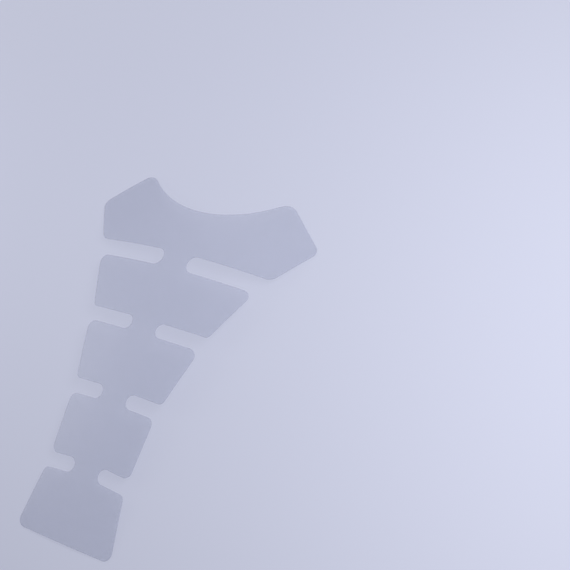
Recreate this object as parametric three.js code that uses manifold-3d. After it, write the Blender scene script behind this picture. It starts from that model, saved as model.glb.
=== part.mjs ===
import * as THREE from 'three';
import { mergeVertices } from 'three/addons/utils/BufferGeometryUtils.js';
import Module from 'manifold-3d';

// A tank pad for a motorcycle: one thin sheet of clear, soft polyurethane with an adhesive back.
// A narrow spine carries four bands, parted by round-ended slots, and a pair of wings above them.
// It is modelled in the bent form that it has when stuck on, lying on its rim with its back down:
// +X to its right, +Y from the foot to the wings, +Z out of its face. All sizes in millimetres.

// The sheet.
const THICKNESS = 0.6;
const EDGE_RADIUS = 0.25;

// The flat pattern: half widths across from the centre line, heights up from the foot, and the
// radius that each outer corner is rounded to.
const SPINE_HALF_WIDTH = 9.5;
const SLOT_PITCH = 45.4;
const SLOT_WIDTH = 9.1;
const TOP_SLOT_WIDTH = 11.1;
const SLOT_FALL_DEGREES = [4.6, 1.4, 0.1, 0.6];
const BAND_FOOT_HALF_WIDTHS = [37.3, 30.6, 33.6, 44.9];
const BAND_FOOT_CORNERS = [5, 5, 3.6, 3.6];
const BAND_TOP_HALF_WIDTHS = [31, 32.4, 43.2, 60.4];
const BAND_TOP_CORNERS = [3.6, 5, 5, 4.4];
const WING_ROOT_HALF_WIDTH = 66.7;
const WING_ROOT_CORNER = 8;
const WING_TIP_HALF_WIDTH = 85.8;
const WING_TIP_RISE = 32.3;
const WING_TIP_CORNER = 5.2;
const HORN_HALF_WIDTH = 55;
const HORN_RISE = 58;
const HORN_CORNER = 8.2;
const BAY_RADIUS = 75;
const BAY_MEETING_RISE = 18;

// Heights that follow from these.
const TOP_SLOT = BAND_TOP_HALF_WIDTHS.length * SLOT_PITCH;
const LENGTH = TOP_SLOT + HORN_RISE;

// The bend: even across the sheet, and tighter towards the wings along its centre line.
const CROSS_RADIUS = 332;
const FOOT_BEND_RADIUS = 4400;
const TOP_BEND_RADIUS = 359;

// How finely curves are divided.
const ARC_STEP = THREE.MathUtils.degToRad(15);
const ARC_PIECE = 6;
const LINE_STEP = 14;
const GRID_STEP = 12;
const BEND_STEP = 2;
const EDGE_STEPS = 2;

// The cutting solid passes this far below the sheet, and above it by more than the sheet bulges.
const CUT_BELOW = 3;
const CUT_LEAD_OUT = 0.3;
const CUT_ABOVE = 40;

const wasm = await Module();
wasm.setup();

// Corners of the right half of the pattern, from the foot up to the horn, each with its rounding.
function rightCorners() {
  const corners = [];
  const slots = BAND_TOP_HALF_WIDTHS.length;
  const add = (u, v, radius) => corners.push({ at: new THREE.Vector2(u, v), radius });
  add(BAND_FOOT_HALF_WIDTHS[0], 0, BAND_FOOT_CORNERS[0]);
  for (let slot = 0; slot < slots; slot += 1) {
    const last = slot === slots - 1;
    const width = last ? TOP_SLOT_WIDTH : SLOT_WIDTH;
    const above = last ? WING_ROOT_HALF_WIDTH : BAND_FOOT_HALF_WIDTHS[slot + 1];
    const aboveCorner = last ? WING_ROOT_CORNER : BAND_FOOT_CORNERS[slot + 1];
    const below = BAND_TOP_HALF_WIDTHS[slot];
    const fall = THREE.MathUtils.degToRad(SLOT_FALL_DEGREES[slot]);
    const middle = (slot + 1) * SLOT_PITCH;
    const lower = (u) => middle - width / 2 - u * Math.tan(fall);
    const upper = (u) => lower(u) + width;
    const endRadius = width * Math.cos(fall) / 2;
    add(below, lower(below), BAND_TOP_CORNERS[slot]);
    add(SPINE_HALF_WIDTH, lower(SPINE_HALF_WIDTH), endRadius);
    add(SPINE_HALF_WIDTH, upper(SPINE_HALF_WIDTH), endRadius);
    add(above, upper(above), aboveCorner);
  }
  add(WING_TIP_HALF_WIDTH, TOP_SLOT + WING_TIP_RISE, WING_TIP_CORNER);
  add(HORN_HALF_WIDTH, LENGTH, HORN_CORNER);
  return corners;
}

// All corners of the pattern, anticlockwise: up the right side, over the bay, down the left.
function patternCorners() {
  const right = rightCorners();
  const bay = { at: new THREE.Vector2(0, TOP_SLOT + BAY_MEETING_RISE), radius: BAY_RADIUS };
  const left = right.map(({ at, radius }) => ({ at: new THREE.Vector2(-at.x, at.y), radius }));
  return [...right, bay, ...left.reverse()];
}

// The rounded outline: points with their outward normals, finely enough to follow the bend.
function roundedOutline(corners) {
  const outline = [];
  const add = (point, normal) => outline.push({ point, normal });
  const arcs = corners.map(({ at, radius }, i) => {
    const before = at.clone().sub(corners.at(i - 1).at).normalize();
    const after = corners[(i + 1) % corners.length].at.clone().sub(at).normalize();
    const turn = Math.atan2(before.cross(after), before.dot(after));
    const side = Math.sign(turn);
    const start = at.clone().addScaledVector(before, -radius * Math.tan(Math.abs(turn) / 2));
    const outward = new THREE.Vector2(before.y, -before.x);
    const centre = start.clone().addScaledVector(outward, -side * radius);
    return { start, outward, centre, turn, side, radius };
  });
  arcs.forEach(({ outward, centre, turn, side, radius }, i) => {
    const size = Math.abs(turn);
    const steps = Math.ceil(Math.max(size / ARC_STEP, size * radius / ARC_PIECE));
    for (let step = 0; step <= steps; step += 1) {
      const normal = outward.clone().rotateAround(new THREE.Vector2(), turn * step / steps);
      add(centre.clone().addScaledVector(normal, side * radius), normal);
    }
    const { point, normal } = outline.at(-1);
    const next = arcs[(i + 1) % arcs.length].start;
    const pieces = Math.ceil(point.distanceTo(next) / LINE_STEP);
    for (let piece = 1; piece < pieces; piece += 1) {
      add(point.clone().lerp(next, piece / pieces), normal);
    }
  });
  const shortest = LINE_STEP / 1000;
  return outline.filter(({ point }, i) => point.distanceTo(outline.at(i - 1).point) > shortest);
}

// The centre line of the back in the YZ plane, bent down from a level start at the foot.
function centreLine(v) {
  const footBend = 1 / FOOT_BEND_RADIUS;
  const bendGrowth = (1 / TOP_BEND_RADIUS - footBend) / LENGTH;
  const turned = (s) => footBend * s + bendGrowth * s * s / 2;
  const steps = Math.max(1, Math.ceil(Math.abs(v) / BEND_STEP));
  let y = 0;
  let z = 0;
  for (let step = 0; step < steps; step += 1) {
    const angle = turned((step + 0.5) * v / steps);
    y += Math.cos(angle) * v / steps;
    z -= Math.sin(angle) * v / steps;
  }
  return { y, z, angle: turned(v) };
}

// The place on the bent sheet of a pattern point (u, v), at a height over the back.
function onSkin(u, v, height) {
  const { y, z, angle } = centreLine(v);
  const turn = u / CROSS_RADIUS;
  const reach = CROSS_RADIUS + height;
  const rise = reach * Math.cos(turn) - CROSS_RADIUS;
  return new THREE.Vector3(reach * Math.sin(turn), y + rise * Math.sin(angle), z + rise * Math.cos(angle));
}

// A level slab, wider and longer than the pattern, laid on the bend.
function bentSlab() {
  const width = 2 * (WING_TIP_HALF_WIDTH + GRID_STEP);
  const length = LENGTH + 2 * GRID_STEP;
  const across = Math.ceil(width / GRID_STEP);
  const along = Math.ceil(length / GRID_STEP);
  const slab = new THREE.BoxGeometry(width, length, THICKNESS, across, along, 1);
  slab.translate(0, LENGTH / 2, THICKNESS / 2);
  const position = slab.getAttribute('position');
  const flat = new THREE.Vector3();
  for (let i = 0; i < position.count; i += 1) {
    flat.fromBufferAttribute(position, i);
    const bent = onSkin(flat.x, flat.y, flat.z);
    position.setXYZ(i, bent.x, bent.y, bent.z);
  }
  slab.deleteAttribute('normal');
  slab.deleteAttribute('uv');
  return mergeVertices(slab);
}

// The insets and heights of the cut's wall: upright, then round over the edge of the face.
function wallProfile() {
  const profile = [{ inset: 0, height: -CUT_BELOW }];
  for (let step = 0; step <= EDGE_STEPS; step += 1) {
    const angle = Math.PI / 2 * step / EDGE_STEPS;
    const inset = EDGE_RADIUS * (1 - Math.cos(angle));
    profile.push({ inset, height: THICKNESS - EDGE_RADIUS * (1 - Math.sin(angle)) });
  }
  const end = profile.at(-1);
  const before = profile.at(-2);
  const slope = (end.inset - before.inset) / (end.height - before.height);
  const inset = end.inset + CUT_LEAD_OUT * slope;
  profile[profile.length - 1] = { inset, height: THICKNESS + CUT_LEAD_OUT };
  profile.push({ inset, height: THICKNESS + CUT_ABOVE });
  return profile;
}

// The solid that stands on the pattern and cuts the sheet out of the slab.
function patternCutter(outline) {
  const profile = wallProfile();
  const count = outline.length;
  const positions = profile.flatMap(({ inset, height }) => outline.flatMap(({ point, normal }) => {
    const flat = point.clone().addScaledVector(normal, -inset);
    return onSkin(flat.x, flat.y, height).toArray();
  }));
  const cap = THREE.ShapeUtils.triangulateShape(outline.map(({ point }) => point), []);
  const top = (profile.length - 1) * count;
  const triangles = cap.flatMap(([a, b, c]) => [a, c, b, top + a, top + b, top + c]);
  for (let ring = 0; ring < top; ring += count) {
    for (let i = 0; i < count; i += 1) {
      const a = ring + i;
      const b = ring + (i + 1) % count;
      triangles.push(a, b, b + count, a, b + count, a + count);
    }
  }
  const cutter = new THREE.BufferGeometry();
  cutter.setAttribute('position', new THREE.Float32BufferAttribute(positions, 3));
  cutter.setIndex(triangles);
  return cutter;
}

function toSolid(geometry) {
  const vertProperties = Float32Array.from(geometry.getAttribute('position').array);
  const triVerts = Uint32Array.from(geometry.getIndex().array);
  return new wasm.Manifold(new wasm.Mesh({ numProp: 3, vertProperties, triVerts }));
}

function toGeometry(solid) {
  const { vertProperties, triVerts } = solid.getMesh();
  const geometry = new THREE.BufferGeometry();
  geometry.setAttribute('position', new THREE.BufferAttribute(vertProperties, 3));
  geometry.setIndex(new THREE.BufferAttribute(triVerts, 1));
  return geometry;
}

// The sheet lies on its foot's two corners and its two wing tips, with the middle of its length
// and width over the origin.
function layDown(geometry) {
  const foot = onSkin(BAND_FOOT_HALF_WIDTHS[0], 0, 0);
  const tip = onSkin(WING_TIP_HALF_WIDTH, TOP_SLOT + WING_TIP_RISE, 0);
  geometry.rotateX(-Math.atan2(tip.z - foot.z, tip.y - foot.y));
  geometry.computeBoundingBox();
  const { min, max } = geometry.boundingBox;
  geometry.translate(0, -(min.y + max.y) / 2, -min.z);
}

function tankPad() {
  const cutter = toSolid(patternCutter(roundedOutline(patternCorners())));
  const sheet = toGeometry(toSolid(bentSlab()).intersect(cutter));
  layDown(sheet);
  sheet.computeVertexNormals();
  const clearFilm = new THREE.MeshStandardMaterial({ color: '#b2b7ce', roughness: 0.4, metalness: 0 });
  const mesh = new THREE.Mesh(sheet, clearFilm);
  mesh.name = 'tank_pad';
  return mesh;
}

const group = new THREE.Group();
group.add(tankPad());

export default group;
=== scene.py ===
import math

import bpy
from mathutils import Matrix, Vector


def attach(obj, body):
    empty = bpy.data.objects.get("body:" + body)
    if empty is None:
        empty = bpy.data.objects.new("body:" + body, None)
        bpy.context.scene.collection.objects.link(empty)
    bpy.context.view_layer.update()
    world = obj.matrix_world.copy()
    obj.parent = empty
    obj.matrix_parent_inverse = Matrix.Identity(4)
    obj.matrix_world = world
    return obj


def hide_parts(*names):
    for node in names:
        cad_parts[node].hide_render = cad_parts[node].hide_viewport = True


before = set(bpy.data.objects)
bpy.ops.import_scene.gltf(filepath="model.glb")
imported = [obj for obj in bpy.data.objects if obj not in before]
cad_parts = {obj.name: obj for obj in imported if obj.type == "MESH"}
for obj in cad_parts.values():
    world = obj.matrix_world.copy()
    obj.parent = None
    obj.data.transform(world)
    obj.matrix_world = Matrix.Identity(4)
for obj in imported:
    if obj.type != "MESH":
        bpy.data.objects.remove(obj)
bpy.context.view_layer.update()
bpy.context.scene.view_settings.view_transform = "Standard"

MM = 0.001

# Camera and studio.
# A small product set seen from above the pad's right foot corner: one camera, three round soft
# lamps, and a plain pale card under the pad that melts into an even pale backdrop.
CAMERA_PLACE = Vector((457.0, -109.6, 594.9)) * MM
CAMERA_HEADING = math.radians(65.09)
CAMERA_PITCH = math.radians(54.46)
CAMERA_ROLL = math.radians(-46.01)
FOCAL_PIXELS = 1235.5
PICTURE_PIXELS = 570
SENSOR_WIDTH = 36.0
CARD_COLOUR = "#CBCEE0"
CARD_SIZE = 6.0
CARD_ROUGHNESS = 0.9
CARD_FADE_START = 0.18
CARD_FADE_END = 0.6
BACKDROP_COLOUR = "#CDD0E2"
BACKDROP_STRENGTH = 1.0
ROOM_COLOUR = "#F4F6FF"
ROOM_STRENGTH = 0.3
RIGHT_LAMP = {
    "place": (520.0, 160.0, 520.0),
    "aim": (60.0, 0.0, 0.0),
    "size": 0.3,
    "watts": 3.4,
}
WING_LAMP = {
    "place": (-160.0, 400.0, 420.0),
    "aim": (-20.0, 60.0, 0.0),
    "size": 0.4,
    "watts": 0.55,
}
LEFT_LAMP = {
    "place": (-420.0, -20.0, 300.0),
    "aim": (-60.0, 0.0, 10.0),
    "size": 0.3,
    "watts": 0.61,
}


def linear(hex_colour):
    """The linear RGBA of an sRGB hex colour."""
    parts = [int(hex_colour[i:i + 2], 16) / 255 for i in (1, 3, 5)]
    return [c / 12.92 if c <= 0.04045 else ((c + 0.055) / 1.055) ** 2.4 for c in parts] + [1.0]


def add_node(owner, kind, inputs=None, **settings):
    """Adds a node to a material or the world, its settings as named.

    An input, by name or place, is a value or the output socket that it is linked to.
    """
    node = owner.node_tree.nodes.new(kind)
    for name, value in settings.items():
        setattr(node, name, value)
    for name, value in (inputs or {}).items():
        if isinstance(value, bpy.types.NodeSocket):
            owner.node_tree.links.new(value, node.inputs[name])
        else:
            node.inputs[name].default_value = value
    return node


def start_material(name):
    """An empty node material and its output node."""
    material = bpy.data.materials.new(name)
    material.use_nodes = True
    material.node_tree.nodes.clear()
    return material, add_node(material, "ShaderNodeOutputMaterial")


def add_camera():
    """The camera, turned by its heading and pitch, then rolled about its own view."""
    back = Vector((
        math.sin(CAMERA_HEADING) * math.cos(CAMERA_PITCH),
        -math.cos(CAMERA_HEADING) * math.cos(CAMERA_PITCH),
        math.sin(CAMERA_PITCH),
    ))
    level = back.to_track_quat("Z", "Y").to_matrix()
    turned = level @ Matrix.Rotation(CAMERA_ROLL, 3, "Z")
    bpy.ops.object.camera_add(location=CAMERA_PLACE, rotation=turned.to_euler())
    camera = bpy.context.object
    camera.data.sensor_width = SENSOR_WIDTH
    camera.data.lens = SENSOR_WIDTH * FOCAL_PIXELS / PICTURE_PIXELS
    bpy.context.scene.camera = camera


def seen_or_mirrored(owner):
    """1 for what the eye sees, directly, mirrored or through glass, and 0 for what lights."""
    path = add_node(owner, "ShaderNodeLightPath").outputs
    seen = add_node(owner, "ShaderNodeMath", {
        0: path["Is Camera Ray"],
        1: path["Is Glossy Ray"],
    }, operation="MAXIMUM")
    return add_node(owner, "ShaderNodeMath", {
        0: seen.outputs["Value"],
        1: path["Is Transmission Ray"],
    }, operation="MAXIMUM").outputs["Value"]


def add_room():
    """An even dim light from all round, and the pale backdrop that the eye sees in its place."""
    world = bpy.data.worlds.new("pale_room")
    world.use_nodes = True
    world.node_tree.nodes.clear()
    light = add_node(world, "ShaderNodeBackground", {
        "Color": linear(ROOM_COLOUR),
        "Strength": ROOM_STRENGTH,
    })
    backdrop = add_node(world, "ShaderNodeBackground", {
        "Color": linear(BACKDROP_COLOUR),
        "Strength": BACKDROP_STRENGTH,
    })
    both = add_node(world, "ShaderNodeMixShader", {
        0: seen_or_mirrored(world),
        1: light.outputs["Background"],
        2: backdrop.outputs["Background"],
    })
    add_node(world, "ShaderNodeOutputWorld", {"Surface": both.outputs["Shader"]})
    bpy.context.scene.world = world


def add_lamp(place, aim, size, watts):
    """A round soft lamp, turned to face what it lights."""
    turned = (Vector(place) - Vector(aim)).to_track_quat("Z", "Y").to_euler()
    bpy.ops.object.light_add(type="AREA", location=Vector(place) * MM, rotation=turned)
    lamp = bpy.context.object
    lamp.data.shape = "DISK"
    lamp.data.size = size
    lamp.data.energy = watts


def matt_card():
    """Matt art card: no gloss, one even colour, which turns to the backdrop's tone far off."""
    material, output = start_material("matt_card")
    near = add_node(material, "ShaderNodeBsdfPrincipled", {
        "Base Color": linear(CARD_COLOUR),
        "Roughness": CARD_ROUGHNESS,
        "Specular IOR Level": 0.0,
    })
    far = add_node(material, "ShaderNodeEmission", {
        "Color": linear(BACKDROP_COLOUR),
        "Strength": BACKDROP_STRENGTH,
    })
    place = add_node(material, "ShaderNodeTexCoord").outputs["Object"]
    away = add_node(material, "ShaderNodeVectorMath", {0: place}, operation="LENGTH")
    fade = add_node(material, "ShaderNodeMapRange", {
        "Value": away.outputs["Value"],
        "From Min": CARD_FADE_START,
        "From Max": CARD_FADE_END,
    }, interpolation_type="SMOOTHSTEP")
    faded = add_node(material, "ShaderNodeMath", {
        0: fade.outputs["Result"],
        1: seen_or_mirrored(material),
    }, operation="MULTIPLY")
    both = add_node(material, "ShaderNodeMixShader", {
        0: faded.outputs["Value"],
        1: near.outputs["BSDF"],
        2: far.outputs["Emission"],
    })
    material.node_tree.links.new(both.outputs["Shader"], output.inputs["Surface"])
    return material


add_camera()
add_room()
for lamp in (RIGHT_LAMP, WING_LAMP, LEFT_LAMP):
    add_lamp(**lamp)
bpy.ops.mesh.primitive_plane_add(size=CARD_SIZE)
card = bpy.context.object
card.name = "card"
card.data.materials.append(matt_card())

# The tank pad.
# One sheet of clear soft polyurethane, poured, cured and cut out with a steel die, so that its
# face rolls over into the cut and its back stays sharp. A satin face, and a clear adhesive on the
# back that holds it in the bend that it has here.
THICKNESS = 0.6
EDGE_RADIUS = 0.25
EDGE_SEGMENTS = 4
EDGE_PROFILE = 0.5
EDGE_BAND = 0.8
SPINE_HALF_WIDTH = 9.5
SLOT_PITCH = 45.4
SLOT_WIDTH = 9.1
TOP_SLOT_WIDTH = 11.1
SLOT_FALL_DEGREES = [4.6, 1.4, 0.1, 0.6]
BAND_FOOT_HALF_WIDTHS = [37.3, 30.6, 33.6, 44.9]
BAND_FOOT_CORNERS = [5.0, 5.0, 3.6, 3.6]
BAND_TOP_HALF_WIDTHS = [31.0, 32.4, 43.2, 60.4]
BAND_TOP_CORNERS = [3.6, 5.0, 5.0, 4.4]
WING_ROOT_HALF_WIDTH = 66.7
WING_ROOT_CORNER = 8.0
WING_TIP_HALF_WIDTH = 85.8
WING_TIP_RISE = 32.3
WING_TIP_CORNER = 5.2
HORN_HALF_WIDTH = 55.0
HORN_RISE = 58.0
HORN_CORNER = 8.2
BAY_RADIUS = 75.0
BAY_MEETING_RISE = 18.0
CROSS_RADIUS = 332.0
FOOT_BEND_RADIUS = 4400.0
TOP_BEND_RADIUS = 359.0
ARC_STEP = math.radians(6)
ARC_PIECE = 2.5
LINE_PIECE = 6.0
GRID_PIECE = 6.0
BEND_PIECE = 2.0
NEARLY_NOTHING = 0.001
SMOOTH_ANGLE = math.radians(40)
TOP_SLOT = len(BAND_TOP_HALF_WIDTHS) * SLOT_PITCH
LENGTH = TOP_SLOT + HORN_RISE


def pattern_corners():
    """The flat pattern's corners with their roundings, anticlockwise from the foot's right."""
    corners = [(BAND_FOOT_HALF_WIDTHS[0], 0.0, BAND_FOOT_CORNERS[0])]
    belows = zip(BAND_TOP_HALF_WIDTHS, BAND_TOP_CORNERS)
    aboves = list(zip(BAND_FOOT_HALF_WIDTHS, BAND_FOOT_CORNERS))[1:]
    aboves.append((WING_ROOT_HALF_WIDTH, WING_ROOT_CORNER))
    widths = [SLOT_WIDTH] * (len(aboves) - 1) + [TOP_SLOT_WIDTH]
    slots = zip(belows, aboves, widths, SLOT_FALL_DEGREES)
    for number, (below, above, width, fall) in enumerate(slots, start=1):
        slope = math.tan(math.radians(fall))
        low = number * SLOT_PITCH - width / 2
        high = low + width
        end_radius = width * math.cos(math.radians(fall)) / 2
        sides = [
            (low, *below),
            (low, SPINE_HALF_WIDTH, end_radius),
            (high, SPINE_HALF_WIDTH, end_radius),
            (high, *above),
        ]
        corners += [(u, v - u * slope, radius) for v, u, radius in sides]
    corners.append((WING_TIP_HALF_WIDTH, TOP_SLOT + WING_TIP_RISE, WING_TIP_CORNER))
    corners.append((HORN_HALF_WIDTH, LENGTH, HORN_CORNER))
    left = [(-u, v, radius) for u, v, radius in reversed(corners)]
    return corners + [(0.0, TOP_SLOT + BAY_MEETING_RISE, BAY_RADIUS)] + left


def rounded_outline(corners):
    """The pattern's outline as points: its corners made arcs, its long sides divided."""
    arcs = []
    for i, (u, v, radius) in enumerate(corners):
        at = Vector((u, v))
        before = (at - Vector(corners[i - 1][:2])).normalized()
        after = (Vector(corners[(i + 1) % len(corners)][:2]) - at).normalized()
        turn = math.atan2(before.x * after.y - before.y * after.x, before.dot(after))
        side = math.copysign(1.0, turn)
        start = at - before * radius * math.tan(abs(turn) / 2)
        outward = Vector((before.y, -before.x))
        centre = start - outward * side * radius
        steps = math.ceil(max(abs(turn) / ARC_STEP, abs(turn) * radius / ARC_PIECE))
        arcs.append([
            centre + Matrix.Rotation(turn * step / steps, 2) @ outward * side * radius
            for step in range(steps + 1)
        ])
    outline = []
    for arc, following in zip(arcs, arcs[1:] + arcs[:1]):
        outline += arc
        pieces = math.ceil((following[0] - arc[-1]).length / LINE_PIECE)
        outline += [arc[-1].lerp(following[0], piece / pieces) for piece in range(1, pieces)]
    return [p for i, p in enumerate(outline) if (p - outline[i - 1]).length > NEARLY_NOTHING]


def centre_line(v):
    """Along-place, height and slope of the bent centre line, v up from the foot."""
    foot_bend = 1 / FOOT_BEND_RADIUS
    growth = (1 / TOP_BEND_RADIUS - foot_bend) / LENGTH
    steps = max(1, math.ceil(v / BEND_PIECE))
    y = z = 0.0
    for step in range(steps):
        s = (step + 0.5) * v / steps
        slope = foot_bend * s + growth * s * s / 2
        y += math.cos(slope) * v / steps
        z -= math.sin(slope) * v / steps
    return y, z, foot_bend * v + growth * v * v / 2


def on_skin(u, v, height):
    """Where a point of the flat sheet lies once the sheet is bent."""
    y, z, slope = centre_line(v)
    reach = CROSS_RADIUS + height
    rise = reach * math.cos(u / CROSS_RADIUS) - CROSS_RADIUS
    across = reach * math.sin(u / CROSS_RADIUS)
    return Vector((across, y + rise * math.sin(slope), z + rise * math.cos(slope)))


def select_top_face(piece):
    """Selects the faces at the blank's full height, in edit mode's face mode."""
    bpy.ops.object.mode_set(mode="OBJECT")
    for face in piece.data.polygons:
        face.select = face.center.z > THICKNESS - NEARLY_NOTHING
    bpy.ops.object.mode_set(mode="EDIT")


def cut_blank():
    """The flat blank, in millimetres: the die's outline with its thickness and rolled edge."""
    outline = rounded_outline(pattern_corners())
    bpy.ops.mesh.primitive_circle_add(vertices=len(outline), radius=LENGTH, fill_type="NGON")
    pad = bpy.context.object
    pad.name = "tank_pad_sheet"
    for vertex, point in zip(pad.data.vertices, outline):
        vertex.co = (point.x, point.y, 0.0)
    bpy.ops.object.mode_set(mode="EDIT")
    bpy.ops.mesh.select_mode(type="FACE")
    bpy.ops.mesh.select_all(action="SELECT")
    bpy.ops.mesh.extrude_region_move(TRANSFORM_OT_translate={"value": (0, 0, THICKNESS)})
    bpy.ops.mesh.select_all(action="SELECT")
    bpy.ops.mesh.normals_make_consistent(inside=False)
    select_top_face(pad)
    bpy.ops.mesh.region_to_loop()
    bpy.ops.mesh.bevel(
        offset=EDGE_RADIUS,
        segments=EDGE_SEGMENTS,
        profile=EDGE_PROFILE,
        affect="EDGES",
    )
    bpy.ops.mesh.select_mode(type="FACE")
    select_top_face(pad)
    bpy.ops.mesh.inset(thickness=EDGE_BAND)
    return pad


def divide_blank():
    """Cuts the blank's two flat faces into small fields, so that it can be bent."""
    spans = (
        ((1, 0, 0), -WING_TIP_HALF_WIDTH, WING_TIP_HALF_WIDTH),
        ((0, 1, 0), 0.0, LENGTH),
    )
    for normal, low, high in spans:
        fields = math.ceil((high - low) / GRID_PIECE)
        for field in range(1, fields):
            place = Vector(normal) * (low + (high - low) * field / fields)
            bpy.ops.mesh.select_all(action="SELECT")
            bpy.ops.mesh.bisect(plane_co=place, plane_no=normal)
    bpy.ops.object.mode_set(mode="OBJECT")


def bend_and_lay_down(pad):
    """Bends the blank, tips it onto its foot corners and wing tips, and sets it in the frame."""
    foot = on_skin(BAND_FOOT_HALF_WIDTHS[0], 0.0, 0.0)
    tip = on_skin(WING_TIP_HALF_WIDTH, TOP_SLOT + WING_TIP_RISE, 0.0)
    tip_over = Matrix.Rotation(-math.atan2(tip.z - foot.z, tip.y - foot.y), 3, "X")
    for vertex in pad.data.vertices:
        vertex.co = tip_over @ on_skin(*vertex.co)
    alongs = [vertex.co.y for vertex in pad.data.vertices]
    heights = [vertex.co.z for vertex in pad.data.vertices]
    middle = Vector((0.0, (min(alongs) + max(alongs)) / 2, min(heights)))
    for vertex in pad.data.vertices:
        vertex.co = (vertex.co - middle) * MM


FILM_COLOUR = "#A2A7BF"
FILM_CLOUD_COLOUR = "#9DA3BB"
COVER_FOR_SIGHT = 0.30
COVER_FOR_LIGHT = 0.06
FILM_ROUGHNESS = 0.42
FILM_IOR = 1.5
CLOUD_SIZE = 45.0
CLOUD_DETAIL = 2.0
GRAIN_SIZE = 0.9
GRAIN_DETAIL = 3.0
GRAIN_DEPTH = 0.01
GRAIN_STRENGTH = 1.0


def cast_polyurethane():
    """Cast clear polyurethane, satin: a grey-lilac cast in the thickness and a fine matt grain.

    The satin face scatters what is seen through it, but lets nearly all the light pass, so its
    cover is higher for the eye than for light, and its shadow is faint.
    The grain of the real face, about 0.1 mm, is drawn 0.9 mm wide so that it shows at all.
    """
    material, output = start_material("cast_polyurethane")
    place = add_node(material, "ShaderNodeTexCoord").outputs["Object"]
    clouds = add_node(material, "ShaderNodeTexNoise", {
        "Vector": place,
        "Scale": 1 / (CLOUD_SIZE * MM),
        "Detail": CLOUD_DETAIL,
    })
    colour = add_node(material, "ShaderNodeMix", {
        "Factor": clouds.outputs["Fac"],
        "A": linear(FILM_COLOUR),
        "B": linear(FILM_CLOUD_COLOUR),
    }, data_type="RGBA")
    grain = add_node(material, "ShaderNodeTexNoise", {
        "Vector": place,
        "Scale": 1 / (GRAIN_SIZE * MM),
        "Detail": GRAIN_DETAIL,
    })
    bump = add_node(material, "ShaderNodeBump", {
        "Height": grain.outputs["Fac"],
        "Distance": GRAIN_DEPTH * MM,
        "Strength": GRAIN_STRENGTH,
    })
    cover = add_node(material, "ShaderNodeMapRange", {
        "Value": seen_or_mirrored(material),
        "To Min": COVER_FOR_LIGHT,
        "To Max": COVER_FOR_SIGHT,
    })
    shader = add_node(material, "ShaderNodeBsdfPrincipled", {
        "Base Color": colour.outputs["Result"],
        "Roughness": FILM_ROUGHNESS,
        "IOR": FILM_IOR,
        "Alpha": cover.outputs["Result"],
        "Normal": bump.outputs["Normal"],
    })
    material.node_tree.links.new(shader.outputs["BSDF"], output.inputs["Surface"])
    return material


pad = cut_blank()
divide_blank()
bend_and_lay_down(pad)
bpy.ops.object.shade_smooth_by_angle(angle=SMOOTH_ANGLE)
pad.data.materials.append(cast_polyurethane())
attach(pad, "root")
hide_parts("tank_pad")
